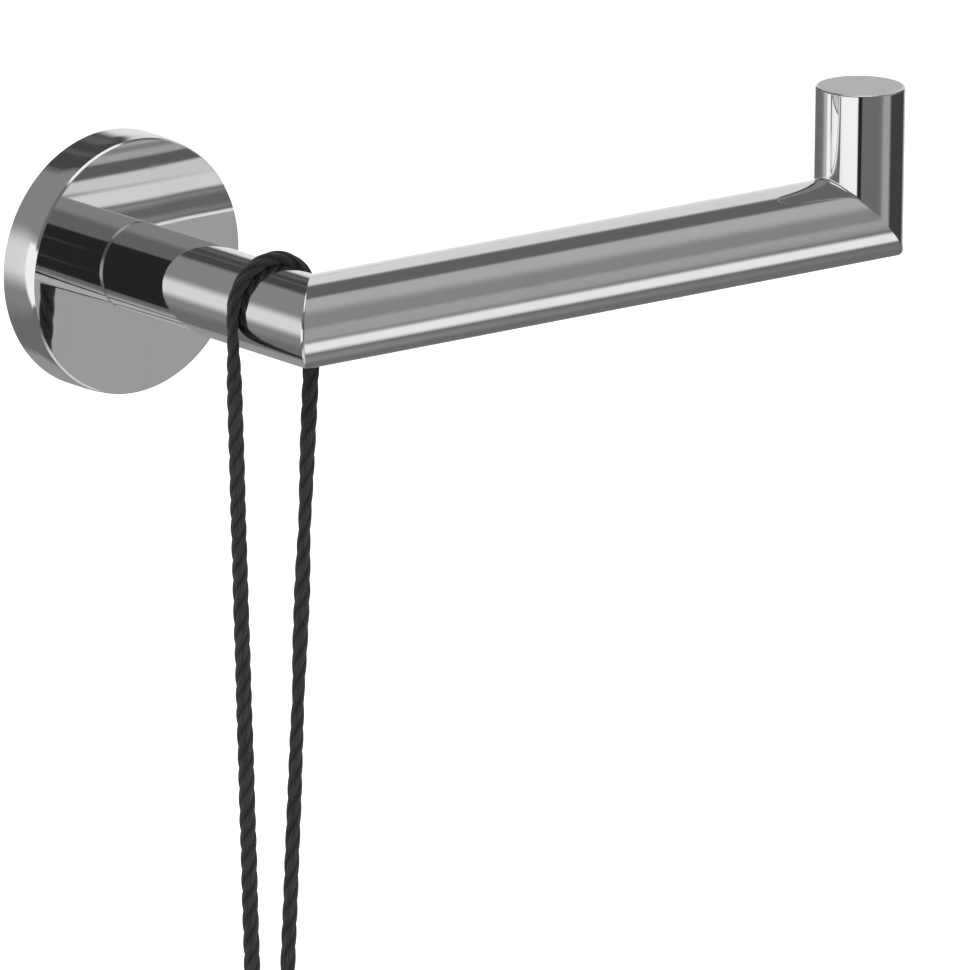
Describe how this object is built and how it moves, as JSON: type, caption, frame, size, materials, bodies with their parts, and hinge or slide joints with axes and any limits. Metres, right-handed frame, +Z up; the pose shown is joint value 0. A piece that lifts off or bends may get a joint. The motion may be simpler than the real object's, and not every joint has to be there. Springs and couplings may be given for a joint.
{
  "type": "toilet roll storage holder",
  "caption": "Wall-mounted toilet roll holder: round rosette, mitred tube arm with an upturned end, and a looped cord over its post that carries a round foot for a spare roll.",
  "frame": {"origin": "middle of the rosette on the wall, which is the middle of the two screw slots", "axes": "+Z up, +Y into the wall, so the arm stands out towards -Y; +X along the bar towards its upturned end"},
  "size_m": [0.179, 0.083, 0.248],
  "materials": {
    "chrome": "mirror polished plating",
    "bracket_steel": "turned, zinc plated",
    "fastener_steel": "plain stainless fasteners",
    "brass": "turned, bare",
    "cord": "laid cord of matt fibres",
    "rubber": "moulded, matt"
  },
  "bodies": {
    "arm": {"wall_bracket": "bracket_steel", "rosette": "chrome", "grub_screw": "fastener_steel", "arm_screw": "fastener_steel", "arm_washer": "fastener_steel", "locating_pin": "fastener_steel", "post_insert": "brass", "arm_post": "chrome", "arm_bar": "chrome", "end_tip": "chrome", "tip_cap": "chrome"},
    "cord_loop": {"cord_arch": "cord"},
    "cord_strands": {"cord_leg_left": "cord", "cord_leg_right": "cord", "cord_knot": "cord", "cord_tails": "cord"},
    "foot": {"foot": "chrome", "foot_bush": "rubber"}
  },
  "joints": [
    {"name": "cord_swing", "type": "hinge", "parent": "arm", "child": "cord_loop", "pos_m": [0, -0.053, 0], "axis": [0, 1, 0], "range_deg": [-20, 20]},
    {"name": "cord_tilt", "type": "hinge", "parent": "cord_loop", "child": "cord_strands", "pos_m": [0, -0.053, -0.0112], "axis": [1, 0, 0], "range_deg": [-20, 6]},
    {"name": "foot_lift", "type": "slide", "parent": "cord_strands", "child": "foot", "axis": [0, 0, 1], "range_m": [0, 0.025]}
  ]
}
